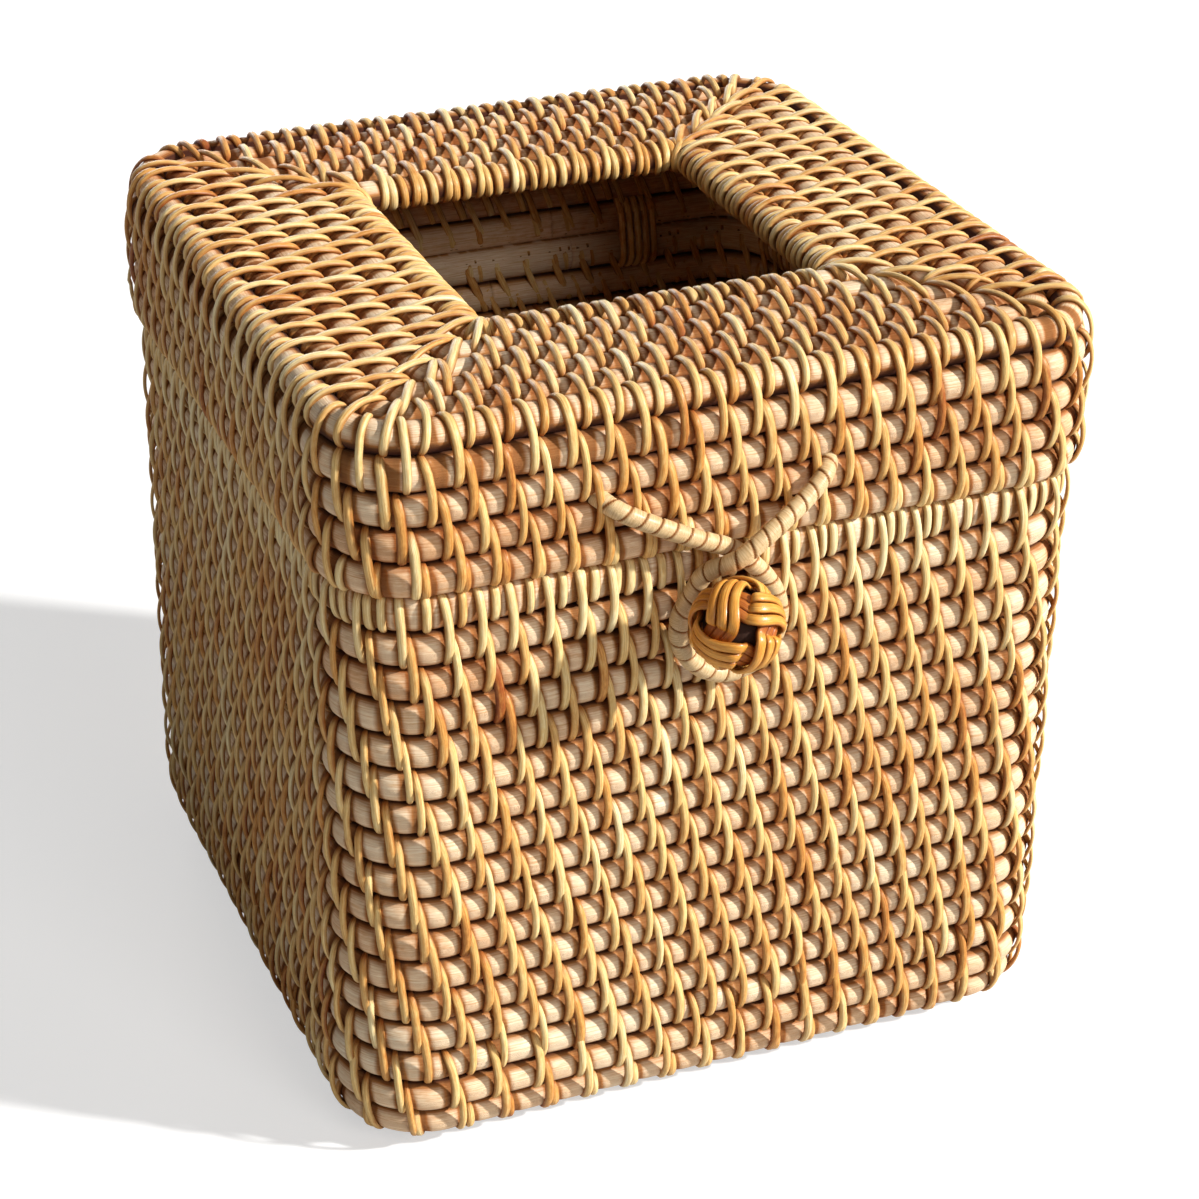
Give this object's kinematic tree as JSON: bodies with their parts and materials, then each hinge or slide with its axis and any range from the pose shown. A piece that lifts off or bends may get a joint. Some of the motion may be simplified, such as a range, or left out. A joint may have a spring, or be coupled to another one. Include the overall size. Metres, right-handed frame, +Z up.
{
  "type": "tissue box cover",
  "caption": "Square coiled-cane tissue box cover with a hinged lid, a square opening in the top, and a cane loop that closes over a woven button.",
  "frame": {"origin": "middle of the underside of the closed box, on the surface that it stands on", "axes": "+Z up, the button and loop on the -Y side, the hinge on the +Y side, +X to the right seen from the front"},
  "size_m": [0.15, 0.171, 0.1529],
  "materials": {
    "cane": "satin",
    "binding_cane": "satin",
    "button_cane": "satin",
    "button_core": "matte"
  },
  "bodies": {
    "box": {"body_course_01": "cane", "body_course_02": "cane", "body_course_03": "cane", "body_course_04": "cane", "body_course_05": "cane", "body_course_06": "cane", "body_course_07": "cane", "body_course_08": "cane", "body_course_09": "cane", "body_course_10": "cane", "body_course_11": "cane", "body_course_12": "cane", "body_course_13": "cane", "body_course_14": "cane", "body_course_15": "cane", "body_course_16": "cane", "body_rim_course": "cane", "base_course_01": "cane", "base_course_02": "cane", "base_course_03": "cane", "base_course_04": "cane", "base_course_05": "cane", "base_course_06": "cane", "base_course_07": "cane", "base_course_08": "cane", "base_course_09": "cane", "base_middle_cane": "cane", "button_strand": "button_cane", "button_core": "button_core"},
    "lid": {"lid_course_1": "cane", "lid_course_2": "cane", "lid_course_3": "cane", "lid_course_4": "cane", "lid_edge_course": "cane", "top_course_1": "cane", "top_course_2": "cane", "top_course_3": "cane", "top_course_4": "cane", "opening_rim": "cane", "hinge_tie_left": "binding_cane", "hinge_tie_right": "binding_cane"},
    "loop": {"closure_loop": "binding_cane"}
  },
  "joints": [
    {"name": "lid_hinge", "type": "hinge", "parent": "box", "child": "lid", "pos_m": [0, 0.0696, 0.1163], "axis": [-1, 0, 0], "range_deg": [0, 100]},
    {"name": "loop_lift", "type": "hinge", "parent": "lid", "child": "loop", "pos_m": [0, -0.0752, 0.1335], "axis": [-1, 0, 0], "range_deg": [0, 80], "deforming": ["closure_loop"]}
  ]
}
